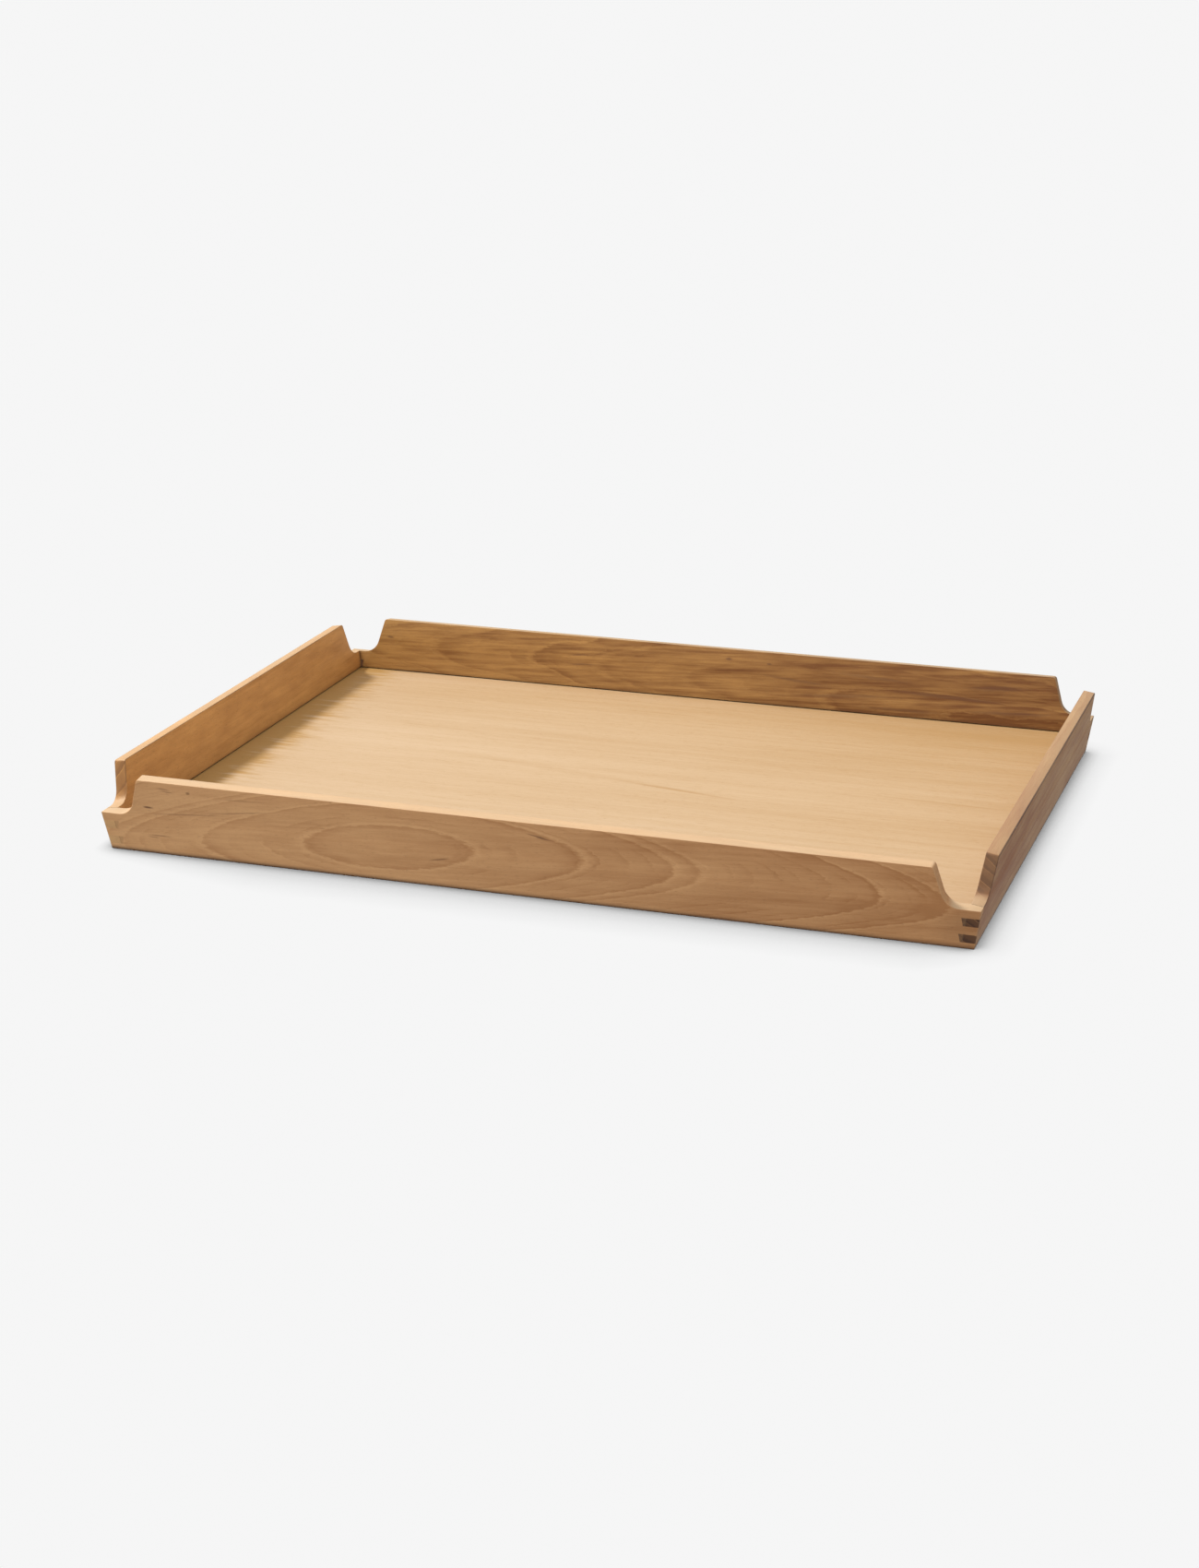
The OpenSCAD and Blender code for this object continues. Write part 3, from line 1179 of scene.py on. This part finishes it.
def pale_floor(studio):
    """A wide pale floor that takes only light shadows"""
    work = bmesh.new()
    bmesh.ops.create_circle(work, cap_ends=True, segments=FLOOR_SIDES, radius=FLOOR_RADIUS)
    mesh = bpy.data.meshes.new("floor")
    work.to_mesh(mesh)
    work.free()
    floor = new_object("floor", mesh)
    material, write, surface = new_material("pale_floor")
    surface["Base Color"].default_value = (0, 0, 0, 1)
    surface["Roughness"].default_value = 1.0
    surface["Specular IOR Level"].default_value = 0.0
    surface["Emission Color"].default_value = (1, 1, 1, 1)
    # The shadow reaches less far beside the tray than in front of it, and is darkest at the contact
    across = write.split(write.place())[0]
    right = write.remap(across, *SHADOW_NARROWS, studio.shadow_reach, studio.side_shadow_reach)
    left = write.remap(across, *SHADOW_STARTS, CONTACT_REACH, studio.shadow_reach)
    reach = write.math("MINIMUM", left, right)
    lost = 0.0
    for distance, depth in ((reach, studio.shadow_depth), (CONTACT_REACH, studio.contact_depth)):
        hidden = write.math("POWER", write.minus(1.0, write.openness(distance)), SHADOW_FALLOFF)
        lost = write.times_plus(hidden, studio.backdrop * depth, lost)
    shaded = write.minus(studio.backdrop, lost)
    seen = write.node("ShaderNodeLightPath").outputs["Is Camera Ray"]
    write.feed(surface["Emission Strength"], write.remap(seen, 0.0, 1.0, studio.floor_bounce, shaded))
    mesh.materials.append(material)


def room_light(context, studio):
    """An even room that is brighter on one side, behind a plain backdrop"""
    world = bpy.data.worlds.new("room")
    world.use_nodes = True
    world.node_tree.nodes.clear()
    context.scene.world = world
    write = Formula(world.node_tree)
    towards = write.place("Generated")
    side = write.vector("DOT_PRODUCT", towards, direction(studio.fill_azimuth, 0.0), out="Value")
    fill = write.remap(side, -1.0, 1.0, studio.fill_low, studio.fill_high)
    seen = write.node("ShaderNodeLightPath").outputs["Is Camera Ray"]
    backdrop = write.node("ShaderNodeBackground", {"Color": (1, 1, 1, 1), "Strength": studio.backdrop})
    room = write.node("ShaderNodeBackground", {"Color": (1, 1, 1, 1), "Strength": fill})
    both = write.node("ShaderNodeMixShader", {0: seen, 1: room.outputs[0], 2: backdrop.outputs[0]})
    write.node("ShaderNodeOutputWorld", {"Surface": both.outputs[0]})


def key_light(studio):
    """One soft key light from the side"""
    light = bpy.data.lights.new("key", "SUN")
    light.energy = studio.key
    light.angle = studio.key_spread
    key = new_object("key", light)
    towards = direction(studio.key_azimuth, studio.key_elevation)
    key.rotation_euler = towards.to_track_quat("Z", "Y").to_euler()
    key.location = towards


def tray_camera(context, studio):
    """The camera, looking down at the tray from its front right"""
    camera = bpy.data.cameras.new("camera")
    camera.lens = studio.lens
    camera.clip_end = 2 * FLOOR_RADIUS
    stand = new_object("camera", camera)
    turn = Matrix.Rotation(studio.camera_azimuth, 4, "Z")
    tilt = Matrix.Rotation(math.radians(90) - studio.camera_elevation, 4, "X")
    roll = Matrix.Rotation(studio.camera_roll, 4, "Z")
    back = direction(studio.camera_azimuth, studio.camera_elevation)
    place = Matrix.Translation(Vector(studio.camera_target) + back * studio.camera_distance)
    stand.matrix_world = place @ turn @ tilt @ roll
    context.scene.camera = stand


class TRAY_PT_build(bpy.types.Panel):
    """Lists the tray's pieces and its studio"""

    bl_label = "Serving Tray"
    bl_idname = "TRAY_PT_build"
    bl_space_type = "VIEW_3D"
    bl_region_type = "UI"
    bl_category = "Tray"

    def draw(self, context):
        for settings in SETTINGS:
            box = self.layout.box()
            group = getattr(context.scene, settings)
            for name in group.bl_rna.properties.keys():
                if name not in ("rna_type", "name"):
                    box.prop(group, name)
        for operator in OPERATORS:
            self.layout.operator(operator.bl_idname)


SETTINGS = {
    "tray_sizes": TraySizes,
    "teak_look": TeakLook,
    "veneer_look": VeneerLook,
    "filler_look": FillerLook,
    "tray_studio": StudioSettings,
}
OPERATORS = (
    TRAY_OT_long_rails,
    TRAY_OT_end_rails,
    TRAY_OT_base_panel,
    TRAY_OT_joint_filler,
    TRAY_OT_studio,
)


def register():
    for settings in SETTINGS.values():
        bpy.utils.register_class(settings)
    for name, settings in SETTINGS.items():
        setattr(bpy.types.Scene, name, PointerProperty(type=settings))
    for operator in OPERATORS:
        bpy.utils.register_class(operator)
    bpy.utils.register_class(TRAY_PT_build)


def unregister():
    bpy.utils.unregister_class(TRAY_PT_build)
    for operator in reversed(OPERATORS):
        bpy.utils.unregister_class(operator)
    for name in SETTINGS:
        delattr(bpy.types.Scene, name)
    for settings in SETTINGS.values():
        bpy.utils.unregister_class(settings)


def main():
    register()
    bpy.ops.tray.long_rails()
    bpy.ops.tray.end_rails()
    bpy.ops.tray.base_panel()
    bpy.ops.tray.joint_filler()
    bpy.ops.tray.studio()


if __name__ == "__main__":
    main()
